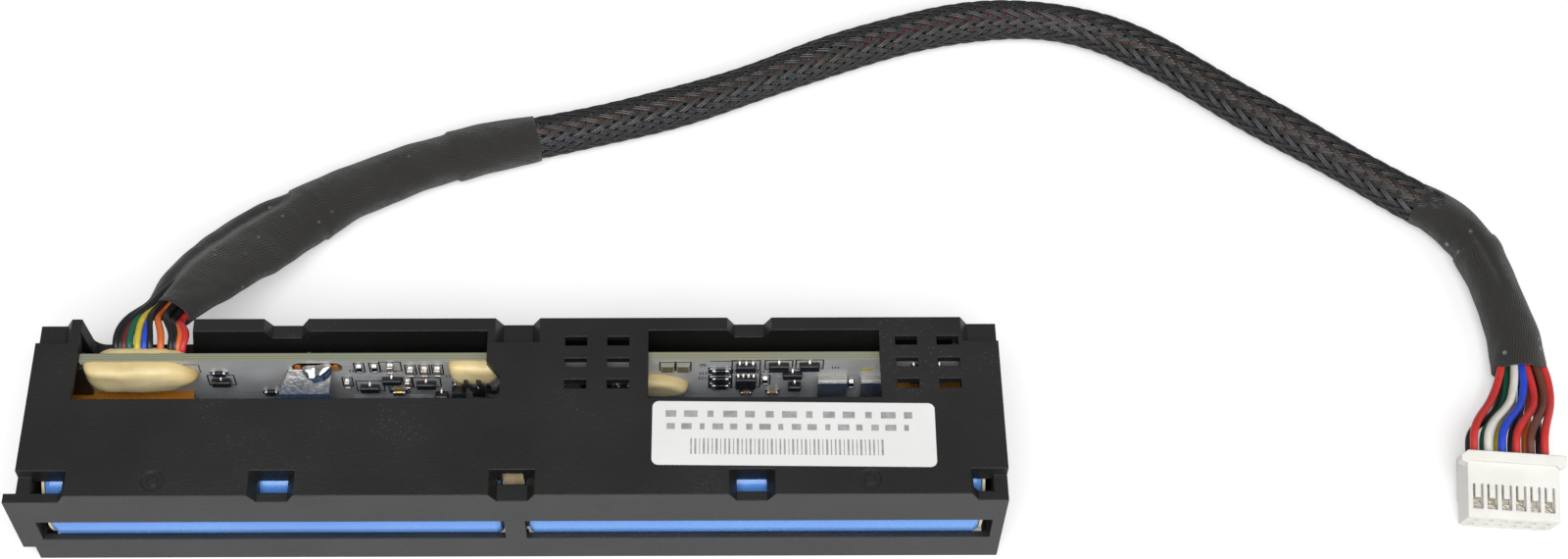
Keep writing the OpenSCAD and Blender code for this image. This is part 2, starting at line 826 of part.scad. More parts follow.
module plug_shell() {
    outside = plug_h / 2 - row_z;
    color([0.93, 0.92, 0.9])
    at_plug() {
        difference() {
            union() {
                translate([-plug_w / 2, -plug_l, -plug_h / 2]) cube([plug_w, plug_l, plug_h]);
                plug_ledge();
                for (x = key_x)
                    translate([x, -plug_l, -plug_h / 2 - key_h]) cube([key_w, key_l, key_h + eps]);
            }
            // terminal cavities, their windows above and below, and the holes at the mating end
            at_contacts() {
                translate([-window_w / 2, window_y, outside - window_d]) cube([window_w, window_l, window_d + 1]);
                translate([-cavity_w / 2, window_y, -cavity_w / 2])
                    cube([cavity_w, window_l, cavity_w / 2 + outside - window_d + eps]);
                translate([-hole_w / 2, -1, -hole_w / 2]) cube([hole_w, window_y + 1 + eps, hole_w]);
            }
            // bevelled lower edges of the mating end
            for (s = [-1, 1])
                translate([s * plug_w / 2, -plug_l - 1, -plug_h / 2]) rotate([-90, 0, 0])
                    cylinder(d = bevel * 2, h = key_l, $fn = 4);
        }
        // the springy lance in each window, level with the outside
        at_contacts()
            translate([-lance_w / 2, window_y + window_l - lance_l, outside - lance_t])
                cube([lance_w, lance_l + eps, lance_t]);
    }
}

module plug_terminals() {
    clear = 0.05;
    w = cavity_w - 2 * clear;
    color([0.8, 0.76, 0.66])
    at_plug()
    at_contacts() {
        translate([-w / 2, window_y + clear, -w / 2]) cube([w, window_l - 2 * clear, w]);
        translate([-w / 2, window_y + clear, w / 2 - eps])
            cube([w, hook_l, plug_h / 2 - row_z - w / 2 - lance_t]);
    }
}

housing();
cell_left();
cell_right();
cell_insulators();
cell_spacer();
link_tab();
end_tab_left();
end_tab_right();
circuit_board();
board_tab();
board_tab_solder();
nickel_tabs();
chip_resistors();
chip_capacitors();
transistors();
control_chips();
diodes();
inductor();
square_parts();
gold_part();
rear_solder();
glue_wires_front();
glue_wires_rear();
glue_middle();
glue_right();
film_tape_left();
film_tape_right();
sense_wires();
rating_label();
wires_board();
wrap_near();
braided_sleeve();
wrap_far();
wires_plug();
plug_shell();
plug_terminals();
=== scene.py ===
from math import pi, radians

import bpy
import numpy as np
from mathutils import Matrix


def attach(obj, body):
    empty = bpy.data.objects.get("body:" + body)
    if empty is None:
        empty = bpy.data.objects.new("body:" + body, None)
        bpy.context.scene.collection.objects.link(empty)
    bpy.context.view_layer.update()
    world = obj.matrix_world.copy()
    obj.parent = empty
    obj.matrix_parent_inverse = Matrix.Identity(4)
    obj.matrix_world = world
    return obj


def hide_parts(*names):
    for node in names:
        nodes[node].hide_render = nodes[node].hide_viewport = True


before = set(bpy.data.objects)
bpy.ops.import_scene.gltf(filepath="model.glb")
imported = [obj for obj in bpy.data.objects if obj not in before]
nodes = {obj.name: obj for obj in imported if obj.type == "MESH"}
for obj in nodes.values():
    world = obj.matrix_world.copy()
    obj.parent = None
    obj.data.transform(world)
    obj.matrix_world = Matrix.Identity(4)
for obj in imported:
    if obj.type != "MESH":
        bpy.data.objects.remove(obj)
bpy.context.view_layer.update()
scene = bpy.context.scene
scene.view_settings.view_transform = "Standard"
mm = 0.001
print("frame loaded:", len(nodes), "nodes")


# The camera stands in front of the module and looks down over the windows
cameraSet = {"place": (26.38, -181.46, 338.4), "pitch": 57.46, "turn": -0.19, "lens": 57.08, "shift": 0.0589}
cameraData = bpy.data.cameras.new("camera")
cameraData.sensor_width = 36
cameraData.lens = cameraSet["lens"]
cameraData.shift_x = cameraSet["shift"]
camera = bpy.data.objects.new("camera", cameraData)
camera.location = [v * mm for v in cameraSet["place"]]
camera.rotation_euler = (radians(90 - cameraSet["pitch"]), 0, radians(cameraSet["turn"]))
scene.collection.objects.link(camera)
scene.camera = camera


# A natural cubic through the knots, timed by the distance between them and read off at an even step.
# Columns past the third, such as widths, are carried along in the same way.
def smoothLine(knots, step):
    knots = np.asarray(knots, float)
    time = np.concatenate([[0], np.cumsum(np.linalg.norm(np.diff(knots[:, :3], axis=0), axis=1))])
    gap = np.diff(time)
    count = len(time)
    matrix, right = np.eye(count), np.zeros_like(knots)
    i = np.arange(1, count - 1)
    matrix[i, i - 1], matrix[i, i], matrix[i, i + 1] = gap[:-1], 2 * (gap[:-1] + gap[1:]), gap[1:]
    right[1:-1] = 6 * np.diff(np.diff(knots, axis=0) / gap[:, None], axis=0)
    bend = np.linalg.solve(matrix, right)
    fine = np.linspace(0, time[-1], 30 * count)
    k = np.clip(np.searchsorted(time, fine, side="right") - 1, 0, count - 2)
    h = gap[k][:, None]
    u = (fine - time[k])[:, None]
    v = h - u
    curve = (bend[k] * v**3 + bend[k + 1] * u**3) / (6 * h)
    curve += (knots[k] / h - bend[k] * h / 6) * v + (knots[k + 1] / h - bend[k + 1] * h / 6) * u
    run = np.concatenate([[0], np.cumsum(np.linalg.norm(np.diff(curve[:, :3], axis=0), axis=1))])
    even = np.linspace(0, run[-1], max(2, int(round(run[-1] / step)) + 1))
    return np.stack([np.interp(even, run, column) for column in curve.T], axis=1)


def unit(v):
    return v / np.linalg.norm(v, axis=-1, keepdims=True)


# The two directions across a line at each of its points: level, and square to that
def acrossAndUp(line):
    along = unit(np.gradient(line, axis=-2))
    across = unit(np.cross(along, [0.0, 0.0, 1.0]))
    return across, np.cross(across, along)


# A profile carried along a line: each point is the centre + x * across + y * up
def carried(line, profile):
    across, up = acrossAndUp(line)
    return line[..., None, :] + profile[..., :1] * across[..., None, :] + profile[..., 1:] * up[..., None, :]


# A round profile of radius r with so many corners
def roundProfile(radius, corners):
    angle = 2 * pi * np.arange(corners) / corners
    return radius * np.stack([np.cos(angle), np.sin(angle)], axis=-1)


# Faces over grids of points, (pieces, rows, columns): each face joins two rows and two columns.
# A closed grid joins its last column to its first, and capped ends get one face each.
def gridFaces(pieces, rows, columns, closed=True, capped=True):
    piece = np.arange(pieces)[:, None, None] * rows * columns
    i = np.arange(rows - 1)[None, :, None]
    j = np.arange(columns if closed else columns - 1)[None, None, :]
    k = (j + 1) % columns
    corners = [(i, j), (i + 1, j), (i + 1, k), (i, k)]
    quads = np.stack([piece + a * columns + b + 0 * (i + j) for a, b in corners], axis=-1).reshape(-1, 4)
    caps = []
    if capped and closed:
        ring = np.arange(columns)
        start = piece[:, 0, :] + ring
        caps = list(start) + list(start[:, ::-1] + (rows - 1) * columns)
    wide = (0 * piece + 0 * i + j).reshape(-1)
    high = (0 * piece + i + 0 * j).reshape(-1)
    places = np.stack([np.stack([wide + b, high + a], axis=-1) for a, b in ((0, 0), (1, 0), (1, 1), (0, 1))], axis=1)
    return quads, caps, places


# One mesh from grids of points in millimetres. tint is a colour for each point, with how metallic it is in
# its alpha, and mapStep is the size of a column and a row in millimetres on the map that patterns follow.
def newPiece(name, grids, look, closed=True, capped=True, tint=None, mapStep=None, smooth=True):
    points, quadList, capList, places, offset = [], [], [], [], 0
    for grid in grids:
        pieces, rows, columns = grid.shape[:3]
        quads, caps, place = gridFaces(pieces, rows, columns, closed, capped)
        points.append(grid.reshape(-1, 3) * mm)
        quadList.append(quads + offset)
        capList += [c + offset for c in caps]
        places.append(place)
        offset += pieces * rows * columns
    points, quads = np.concatenate(points), np.concatenate(quadList)
    corners = np.concatenate([quads.ravel()] + capList)
    sizes = np.array([4] * len(quads) + [len(c) for c in capList])
    mesh = bpy.data.meshes.new(name)
    mesh.vertices.add(len(points))
    mesh.vertices.foreach_set("co", points.ravel())
    mesh.loops.add(len(corners))
    mesh.loops.foreach_set("vertex_index", corners)
    mesh.polygons.add(len(sizes))
    mesh.polygons.foreach_set("loop_start", np.concatenate([[0], np.cumsum(sizes)[:-1]]))
    mesh.update(calc_edges=True)
    mesh.polygons.foreach_set("use_smooth", np.full(len(sizes), smooth))
    if mapStep:
        flat = np.zeros((len(corners), 2))
        flat[: quads.size] = np.concatenate(places).reshape(-1, 2) * mapStep
        mesh.uv_layers.new(name="wrap").data.foreach_set("uv", flat.ravel())
    if tint is not None:
        color = np.concatenate([np.broadcast_to(t, g.shape[:3] + (4,)).reshape(-1, 4) for t, g in zip(tint, grids)])
        mesh.color_attributes.new("tint", "FLOAT_COLOR", "POINT").data.foreach_set("color", color.ravel())
    mesh.validate()
    mesh.materials.append(look)
    piece = bpy.data.objects.new(name, mesh)
    scene.collection.objects.link(piece)
    return piece


# Puts a finished piece on the body and hides the nodes that it stands for
def settle(piece, slotName, *replaced):
    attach(piece, "root")
    if replaced:
        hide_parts(*replaced)
    return piece


# Adds a node to a tree; its inputs are values, or the sockets that they come from
def place(tree, kind, inputs=(), **settings):
    node = tree.nodes.new("ShaderNode" + kind)
    for key, value in settings.items():
        setattr(node, key, value)
    for key, value in dict(inputs).items():
        if isinstance(value, bpy.types.NodeSocket):
            tree.links.new(value, node.inputs[key])
        else:
            node.inputs[key].default_value = value
    return node


def math(tree, operation, a, b=0.0, c=0.0):
    return place(tree, "Math", {0: a, 1: b, 2: c}, operation=operation).outputs[0]


# Reads a value off between two limits, as a number from low to high
def between(tree, value, start, end, low=0.0, high=1.0):
    inputs = {"Value": value, "From Min": start, "From Max": end, "To Min": low, "To Max": high}
    return place(tree, "MapRange", inputs).outputs[0]


def mixed(tree, factor, a, b, blend="MIX"):
    return place(tree, "Mix", {0: factor, 6: a, 7: b}, data_type="RGBA", blend_type=blend).outputs[2]


def newGroup(name, inputs, outputs):
    group = bpy.data.node_groups.new(name, "ShaderNodeTree")
    for label, kind, value in inputs:
        socket = group.interface.new_socket(label, in_out="INPUT", socket_type="NodeSocket" + kind)
        if kind == "Float":
            socket.default_value = value
    for label in outputs:
        group.interface.new_socket(label, in_out="OUTPUT", socket_type="NodeSocketFloat")
    return group, group.nodes.new("NodeGroupInput").outputs, group.nodes.new("NodeGroupOutput").inputs


# Broad patches, fine grain and sparse bright specks, each from 0 to 1
surface, given, out = newGroup(
    "surfaceDetail",
    [("Vector", "Vector", 0), ("Patch", "Float", 90.0), ("Grain", "Float", 3500.0), ("Speck", "Float", 1800.0)],
    ["Patches", "Grain", "Specks"],
)
patches = place(surface, "TexNoise", {"Vector": given["Vector"], "Scale": given["Patch"], "Detail": 4.0})
grain = place(surface, "TexNoise", {"Vector": given["Vector"], "Scale": given["Grain"], "Detail": 2.0})
speck = place(surface, "TexVoronoi", {"Vector": given["Vector"], "Scale": given["Speck"]})
thin = place(surface, "TexNoise", {"Vector": given["Vector"], "Scale": given["Patch"], "Detail": 6.0})
surface.links.new(between(surface, patches.outputs[0], 0.35, 0.65), out["Patches"])
surface.links.new(between(surface, grain.outputs[0], 0.3, 0.7), out["Grain"])
dots = between(surface, speck.outputs["Distance"], 0.22, 0.12)
surface.links.new(math(surface, "MULTIPLY", dots, between(surface, thin.outputs[0], 0.55, 0.62)), out["Specks"])

# Threads that run along a map in millimetres: ribs at a pitch, and the finer beat across them
threads, given, out = newGroup(
    "threads",
    [("Vector", "Vector", 0), ("Pitch", "Float", 0.33), ("Slant", "Float", 0.12), ("Beat", "Float", 0.5)],
    ["Ribs", "Beats"],
)
split = place(threads, "SeparateXYZ", {0: given["Vector"]})
waver = place(threads, "TexNoise", {"Vector": given["Vector"], "Scale": 0.35, "Detail": 2.0})
slid = math(threads, "MULTIPLY_ADD", split.outputs[1], given["Slant"], split.outputs[0])
slid = math(threads, "MULTIPLY_ADD", waver.outputs[0], 1.2, slid)
ribs = math(threads, "SINE", math(threads, "DIVIDE", math(threads, "MULTIPLY", slid, 2 * pi), given["Pitch"]))
beats = math(threads, "SINE", math(threads, "DIVIDE", math(threads, "MULTIPLY", split.outputs[1], 2 * pi), given["Beat"]))
threads.links.new(between(threads, ribs, -1, 1), out["Ribs"])
threads.links.new(between(threads, beats, -1, 1), out["Beats"])


def useGroup(tree, group, **inputs):
    node = place(tree, "Group", node_tree=group)
    for label, value in inputs.items():
        if isinstance(value, bpy.types.NodeSocket):
            tree.links.new(value, node.inputs[label])
        else:
            node.inputs[label].default_value = value
    return node.outputs


def objectPlace(tree):
    return place(tree, "TexCoord").outputs["Object"]


# Relief from a height, over edges that catch the light as if rounded by so many millimetres
def bumped(tree, shader, height, depth, edge=0.0):
    bump = place(tree, "Bump", {"Strength": 1.0, "Distance": depth * mm, "Height": height})
    if edge:
        rounded = place(tree, "Bevel", {"Radius": edge * mm}, samples=4)
        tree.links.new(rounded.outputs[0], bump.inputs["Normal"])
    tree.links.new(bump.outputs[0], shader.inputs["Normal"])


def newLook(name, sockets=()):
    look = bpy.data.materials.new(name)
    look.use_nodes = True
    shader = look.node_tree.nodes["Principled BSDF"]
    for key, value in dict(sockets).items():
        shader.inputs[key].default_value = value
    return look, look.node_tree, shader


# The usual finish: two colours in patches, specks of a third, grain in the gloss and the relief
def finishLook(name, finish):
    look, tree, shader = newLook(name, finish.get("sockets", ()))
    detail = useGroup(
        tree, surface, Vector=objectPlace(tree), Patch=finish.get("patch", 90.0),
        Grain=finish.get("grain", 3500.0), Speck=finish.get("speck", 1800.0),
    )
    color = mixed(tree, detail["Patches"], (*finish["color"], 1), (*finish["other"], 1))
    color = mixed(tree, detail["Specks"], color, (*finish.get("specks", finish["color"]), 1))
    tree.links.new(color, shader.inputs["Base Color"])
    low, high = finish["rough"]
    rough = math(tree, "MULTIPLY_ADD", detail["Grain"], 0.4, math(tree, "MULTIPLY", detail["Patches"], 0.6))
    tree.links.new(between(tree, rough, 0, 1, low, high), shader.inputs["Roughness"])
    bumped(tree, shader, detail["Grain"], finish["relief"], finish.get("edge", 0.0))
    return look


# The cable: twelve wires from the glue behind the board to the plug, wrapped in cloth tape at both ends and
# sleeved in between. The route's points are the ones in the part's source.
cableSet = {
    "start": (-54.1, 11.0, 17.7),
    "near": [
        (-53, 19.5, 14.6, 7.6, 5.2), (-50.5, 25, 12.6, 10, 5.4), (-47, 31, 9.6, 12, 5.6),
        (-42.5, 37.5, 6.4, 12.4, 6), (-37, 43, 4.2, 11, 6.6), (-30.5, 48, 3.5, 9.4, 6.6),
        (-23, 52, 3.4, 8.6, 6.6), (-15, 55.5, 3.3, 8.4, 6.6), (-6.9, 58.1, 3.3, 8.2, 6.6), (1.5, 60.2, 3.3, 7.4, 6.6),
    ],
    "sleeve": [
        (1.5, 60.2, 3.3), (13.5, 63.2, 3.3), (26, 67, 3.3), (37.5, 71.5, 3.3), (49, 76.5, 3.3),
        (60.5, 80.8, 3.3), (72.5, 84, 3.3), (85, 84.8, 3.3), (97, 82, 3.3), (107.5, 75.8, 3.3),
        (117, 68.2, 3.3), (127, 60.6, 3.3), (137.5, 52.6, 3.3), (145.5, 46.6, 3.3),
    ],
    "far": [
        (145.5, 46.6, 3.3, 7, 6.6), (149.5, 43.6, 3.3, 7.4, 6.6), (153, 37.6, 3.5, 7.4, 7),
        (155.2, 29.8, 3.5, 7.4, 7), (156.4, 21.8, 3.2, 8, 6.4), (156.4, 14.8, 3.2, 8.8, 5.4),
    ],
    "end": [(153.3, 6.6, 4.7), (150.9, 1.2, 6.8), (150.6, -1.9, 6.1)],
    "sleeveDiameter": 6.6,
    "wireDiameter": 1.3,
}
middle = [p[:3] for p in cableSet["near"][:-1] + cableSet["sleeve"] + cableSet["far"][1:]]
cableLine = smoothLine([cableSet["start"], *middle, *cableSet["end"]], 2.0)

wireColors = {
    "black": (0.012, 0.012, 0.013, 0), "red": (0.62, 0.035, 0.03, 0), "wine": (0.13, 0.014, 0.012, 0),
    "green": (0.008, 0.12, 0.07, 0), "yellow": (0.62, 0.5, 0.05, 0), "blue": (0.02, 0.07, 0.62, 0),
    "orange": (0.72, 0.15, 0.03, 0), "white": (0.8, 0.79, 0.72, 0), "brown": (0.15, 0.05, 0.032, 0),
}


# Insulation, terminals and small board parts: the colour and the metal come from the piece's own points
def tintedLook(name, finish):
    look, tree, shader = newLook(name, finish.get("sockets", ()))
    own = place(tree, "VertexColor", layer_name="tint").outputs
    detail = useGroup(tree, surface, Vector=objectPlace(tree), Patch=finish["patch"], Grain=finish["grain"])
    shade = between(tree, detail["Patches"], 0, 1, finish["dark"], 1.0)
    dimmed = place(tree, "CombineColor", {0: shade, 1: shade, 2: shade}).outputs[0]
    tree.links.new(mixed(tree, 1.0, own["Color"], dimmed, "MULTIPLY"), shader.inputs["Base Color"])
    tree.links.new(own["Alpha"], shader.inputs["Metallic"])
    low, high = finish["rough"]
    plain = between(tree, detail["Grain"], 0, 1, low, high)
    metal = between(tree, detail["Patches"], 0, 1, 0.18, 0.34)
    rough = place(tree, "Mix", {0: own["Alpha"], 2: plain, 3: metal}, data_type="FLOAT").outputs[0]
    tree.links.new(rough, shader.inputs["Roughness"])
    bumped(tree, shader, detail["Grain"], finish["relief"])
    return look


wireLook = tintedLook("wireInsulation", {"patch": 500, "grain": 3000, "dark": 0.85, "rough": (0.34, 0.46), "relief": 0.01})

# The wires that leave the glue: where each starts along it, how it bows, and where it meets the wrap
moduleWires = {
    "radius": 0.55,
    "wires": [
        ("black", -59.5, -0.1, -3.0, 0.9), ("black", -58.9, 0.3, -2.4, 1.4), ("wine", -58.3, 0.1, -2.0, 0.3),
        ("green", -57.5, 0.0, -2.4, 0.5), ("yellow", -56.3, -0.1, -1.8, 0.8), ("blue", -55.3, 0.1, -1.2, -0.2),
        ("black", -54.4, -0.4, -1.3, 1.1), ("orange", -52.8, -0.2, -0.4, 0.5), ("black", -51.3, 0.1, 0.6, 1.2),
        ("black", -50.7, 0.3, 1.6, 0.5), ("orange", -50.3, 0.5, 1.9, -0.6), ("red", -49.6, 0.9, 2.8, 0.2),
    ],
}
mouth = np.array(cableSet["near"][0][:3])
mouthAlong = unit(np.array(cableSet["near"][1][:3]) - mouth)
mouthAcross = unit(np.cross(mouthAlong, [0, 0, 1]))
mouthUp = np.cross(mouthAcross, mouthAlong)


def moduleWire(color, x, bow, across, up):
    offset = mouthAcross * across + mouthUp * up
    end = mouth + offset
    inside = [np.array(cableSet["near"][k][:3]) + offset * (0.8, 0.6, 0.5)[k - 1] for k in (1, 2, 3)]
    knots = [
        (x, 10.6, 17.0), (x + 0.1 * bow, 11.3, 17.9), (x + 0.5 * bow, 12.9, 18.2),
        (*(0.45 * np.array([x + bow, 15.0]) + 0.55 * (end[:2] - mouthAlong[:2] * 3.0)), 17.4 + 0.2 * up),
        end - mouthAlong * 1.0, end + mouthAlong * 1.5, *inside,
    ]
    return smoothLine(knots, 0.5)


def tubes(lines, radius, corners=12):
    return [carried(line, np.broadcast_to(roundProfile(radius, corners), (len(line), corners, 2)))[None] for line in lines]


moduleTubes = tubes([moduleWire(*wire) for wire in moduleWires["wires"]], moduleWires["radius"])
moduleTint = [np.array(wireColors[wire[0]]) for wire in moduleWires["wires"]]

# The wires into the plug, in two rows: colour, column, row, place across the wrap's mouth, and x half way
plugWires = {
    "radius": 0.62, "pitch": 2.12, "row": 1.3, "turn": -4.5, "tilt": 15.5, "rear": (150.6, -1.9, 6.1),
    "wires": [
        ("red", 0, 1, -3.4, 149.5), ("white", 1, 1, -1.2, 152.6), ("blue", 2, 1, 0.1, 154.4), ("red", 3, 1, 0.9, 156.5),
        ("brown", 4, 1, 2.5, 158.1), ("red", 5, 1, 3.6, 159.1), ("black", 0, -1, -2.8, 151.0), ("green", 1, -1, -2.0, 151.7),
        ("yellow", 2, -1, -0.8, 153.4), ("black", 3, -1, 0.5, 155.0), ("orange", 4, -1, 1.8, 156.4), ("black", 5, -1, 2.9, 157.8),
    ],
}
plugTurn, plugTilt = radians(plugWires["turn"]), radians(plugWires["tilt"])


# A point in the plug's own frame, with its rear face at y = 0, put where the plug lies
def atPlug(points):
    x, y, z = np.moveaxis(np.asarray(points, float), -1, 0)
    y, z = y * np.cos(plugTilt) - z * np.sin(plugTilt), y * np.sin(plugTilt) + z * np.cos(plugTilt)
    x, y = x * np.cos(plugTurn) - y * np.sin(plugTurn), x * np.sin(plugTurn) + y * np.cos(plugTurn)
    return np.stack([x, y, z], axis=-1) + plugWires["rear"]


def plugWire(color, column, row, across, halfWay):
    x = (column - 2.5) * plugWires["pitch"]
    z = row * plugWires["row"]
    end = atPlug([(x, 2.4, z), (x, 1.2, z), (x, -0.3, z)])
    inside = [
        (lineX + across * s, y, 3.2 + 0.8 * z * s)
        for lineX, y, s in ((155.2, 29.8, 0.5), (156.4, 20.5, 0.6), (156.4, 14.9, 0.95))
    ]
    half = (halfWay, 7.6, 4.3 + 0.95 * z)
    return smoothLine([*inside, half, *end], 0.5)


plugTubes = tubes([plugWire(*wire) for wire in plugWires["wires"]], plugWires["radius"])
plugTint = [np.array(wireColors[wire[0]]) for wire in plugWires["wires"]]

# Inside the covers the wires lie in a ring: the outer line of nine touching circles, turned slowly along
ringSet = {"ring": 2.0, "order": ["orange", "black", "red", "wine", "black", "green", "black", "blue", "black"], "columns": 6}
ringLine = smoothLine([p[:3] for p in cableSet["near"][3:-1] + cableSet["sleeve"] + cableSet["far"][1:4]], 1.5)
lobe = 2 * pi / len(ringSet["order"])
angle = np.arange(len(ringSet["order"]) * ringSet["columns"]) * lobe / ringSet["columns"] - lobe / 2
offCentre = (angle + lobe / 2) % lobe - lobe / 2
wireRound = ringSet["ring"] * np.sin(lobe / 2)
radius = ringSet["ring"] * np.cos(offCentre) + np.sqrt(
    np.maximum(wireRound**2 - (ringSet["ring"] * np.sin(offCentre)) ** 2, 0)
)
turned = np.interp(ringLine[:, 0], [0, 46, 56, 92, 104, 150], np.radians([88, 84, -12, -4, 76, 80]))[:, None] + angle
ringPoints = carried(ringLine, np.stack([radius * np.cos(turned), radius * np.sin(turned)], axis=-1))[None]
ringColors = np.array([wireColors[c] for c in ringSet["order"]])
ringTint = ringColors[np.floor((angle + lobe / 2) / lobe + 0.01).astype(int) % len(ringColors)]

wires = newPiece(
    "wires", moduleTubes + plugTubes + [ringPoints], wireLook, tint=moduleTint + plugTint + [ringTint]
)
settle(wires, "wires_mixed", "wires_board", "wires_plug")

# The braided sleeve: sixteen carriers each way, each a flat ribbon of three strands. A carrier winds round the
# cable at a steady pitch and goes over two and under two of the others, so its height is a slow cosine.
braidSet = {"carriers": 16, "pitch": 48.0, "radius": 3.06, "weave": 0.13, "width": 0.8, "thick": 0.2, "step": 0.75}
braidLine = smoothLine(
    [(-3.5, 59.1, 3.3), *cableSet["sleeve"], (148.5, 44.5, 3.3)], braidSet["step"]
)
ribbonAngle = np.linspace(0, pi, 13)
ribbonX = -np.cos(ribbonAngle) * braidSet["width"] / 2
ribbonY = braidSet["thick"] * (0.35 + 0.65 * np.abs(np.sin(3 * ribbonAngle)) ** 0.8)
ribbonY[[0, -1]] = 0
ribbon = np.stack([np.append(ribbonX, 0), np.append(ribbonY, -0.05)], axis=-1)


def carriers(direction):
    count, radius = braidSet["carriers"], braidSet["radius"]
    index = np.arange(count)[:, None]
    run = np.arange(len(braidLine))[None, :] * braidSet["step"]
    crossing = 2 * count * run / braidSet["pitch"]
    swell = 1 + 0.03 * np.sin(run / 9.0) + 0.025 * np.sin(run / 4.3 + 1.0)
    height = braidSet["weave"] * direction * np.cos((crossing * direction - 0.5 + 2 * index) * pi / 2)
    turn = 2 * pi * (index / count + direction * run / braidSet["pitch"])
    across, up = acrossAndUp(braidLine)
    outward = np.cos(turn)[..., None] * across + np.sin(turn)[..., None] * up
    line = braidLine + outward * ((radius + height) * swell)[..., None]
    sideways = unit(np.cross(unit(np.gradient(line, axis=1)), outward))
    return line[:, :, None] + ribbon[:, :1] * sideways[:, :, None] + ribbon[:, 1:] * outward[:, :, None]


braidLook, tree, shader = newLook("braidStrands", {"Specular IOR Level": 0.55})
detail = useGroup(tree, surface, Vector=objectPlace(tree), Patch=260.0, Grain=2600.0)
gloss = between(tree, detail["Patches"], 0, 1, 0.2, 0.42)
tree.links.new(gloss, shader.inputs["Roughness"])
tree.links.new(mixed(tree, detail["Grain"], (0.012, 0.012, 0.013, 1), (0.03, 0.03, 0.031, 1)), shader.inputs["Base Color"])
bumped(tree, shader, detail["Grain"], 0.012)
braidRight = newPiece("braidRight", [carriers(1)], braidLook)
braidLeft = newPiece("braidLeft", [carriers(-1)], braidLook)
settle(braidRight, "braid", "braided_sleeve")
settle(braidLeft, "braid", "braided_sleeve")
print("wires and braid made")


# Cloth tape wound round the cable. The ring is an oval with a crease along it where two branches lie side by
# side, a step where one turn of the tape starts over the last, and low waves where the tape puckers.
def tapeWrap(name, knots, wind):
    line = smoothLine(knots, wind["step"])
    run = np.arange(len(line))[:, None] * wind["step"]
    turn = 2 * pi * np.arange(wind["columns"])[None, :] / wind["columns"]
    x, y = np.cos(turn) + 0 * run, np.sin(turn) + 0 * run
    for start, end, place, depth in wind["creases"]:
        along = np.clip((run - start) / 4, 0, 1) * np.clip((end - run) / 6, 0, 1)
        y = y * (1 - depth * along * np.exp(-(((x - place) / 0.2) ** 2)))
        y = y - 0.25 * depth * along * (x < place) * np.abs(y)
    swell = 0.02 * np.sin(2 * turn + 0.31 * run) + 0.014 * np.sin(3 * turn - 0.5 * run + 1) + 0.008 * np.sin(5 * turn + 1.1 * run)
    for start, slant, rise in wind["laps"]:
        late = run - start - slant * np.sin(turn + 0.6)
        swell = swell + rise * np.clip(late / 0.4, 0, 1) * np.exp(-np.clip(late, 0, 60) / wind["settle"])
    for start, length, side, depth in wind["folds"]:
        near = np.exp(-(((run - start) / length) ** 2)) * np.clip(np.cos(turn - side), 0, 1) ** 2
        swell = swell + depth * near
    x, y = x * line[:, 3:4] / 2 * (1 + swell), y * line[:, 4:5] / 2 * (1 + swell)
    profile = np.stack([x, y], axis=-1)
    points = carried(line[:, :3], profile)
    first, last = line[0, :3], line[-1, :3]
    inward = unit(line[6, :3] - first) * 3, unit(line[-7, :3] - last) * 3
    lips = [first + (points[0] - first) * s + inward[0] * d for s, d in ((0.6, 1), (0.86, 0), (0.97, -0.03))]
    tails = [last + (points[-1] - last) * s + inward[1] * d for s, d in ((0.97, -0.03), (0.86, 0), (0.6, 1))]
    points = np.concatenate([lips, points, tails])
    points[..., 2] = np.maximum(points[..., 2], 0.03)
    around = pi * float(line[:, 3:5].mean()) / wind["columns"]
    return newPiece(name, [points[None]], tapeLook, mapStep=(around, wind["step"]))


tapeLook, tree, shader = newLook("clothTape", {"Specular IOR Level": 0.3, "Sheen Weight": 0.25, "Sheen Roughness": 0.5})
tapeMap = place(tree, "UVMap", uv_map="wrap").outputs[0]
weave = useGroup(tree, threads, Vector=tapeMap, Pitch=0.36, Slant=0.14, Beat=0.27)
detail = useGroup(tree, surface, Vector=objectPlace(tree), Patch=140.0, Grain=1500.0, Speck=500.0)
cloth = mixed(tree, weave["Ribs"], (0.011, 0.0108, 0.010, 1), (0.034, 0.032, 0.029, 1))
cloth = mixed(tree, math(tree, "MULTIPLY", detail["Patches"], 0.5), cloth, (0.024, 0.023, 0.021, 1))
tree.links.new(mixed(tree, detail["Specks"], cloth, (0.2, 0.2, 0.19, 1)), shader.inputs["Base Color"])
tree.links.new(between(tree, detail["Patches"], 0, 1, 0.62, 0.8), shader.inputs["Roughness"])
relief = math(tree, "MULTIPLY_ADD", weave["Beats"], 0.25, weave["Ribs"])
bumped(tree, shader, relief, 0.07)

wrapNear = tapeWrap("wrapNear", cableSet["near"], {
    "step": 0.5, "columns": 96, "settle": 18.0,
    "creases": [(-3.0, 33.0, -0.58, 0.42)],
    "laps": [(33.0, 1.2, 0.07), (58.5, 0.5, 0.1)],
    "folds": [(20.0, 3.0, 0.0, 0.05), (50.0, 4.0, 0.2, -0.03), (27.0, 2.0, 2.2, 0.03)],
})
wrapFar = tapeWrap("wrapFar", cableSet["far"], {
    "step": 0.4, "columns": 80, "settle": 10.0,
    "creases": [(8.0, 24.0, 0.1, 0.1)],
    "laps": [(11.5, 0.9, 0.07)],
    "folds": [(11.0, 1.8, 0.0, -0.09), (13.5, 1.4, 3.1, 0.07), (24.0, 3.0, 3.1, -0.05), (5.0, 2.0, 0.2, 0.03)],
})
settle(wrapNear, "cloth_tape", "wrap_near")
settle(wrapFar, "cloth_tape", "wrap_far")

print("cable made")


# ---------- looks of the CAD nodes ----------

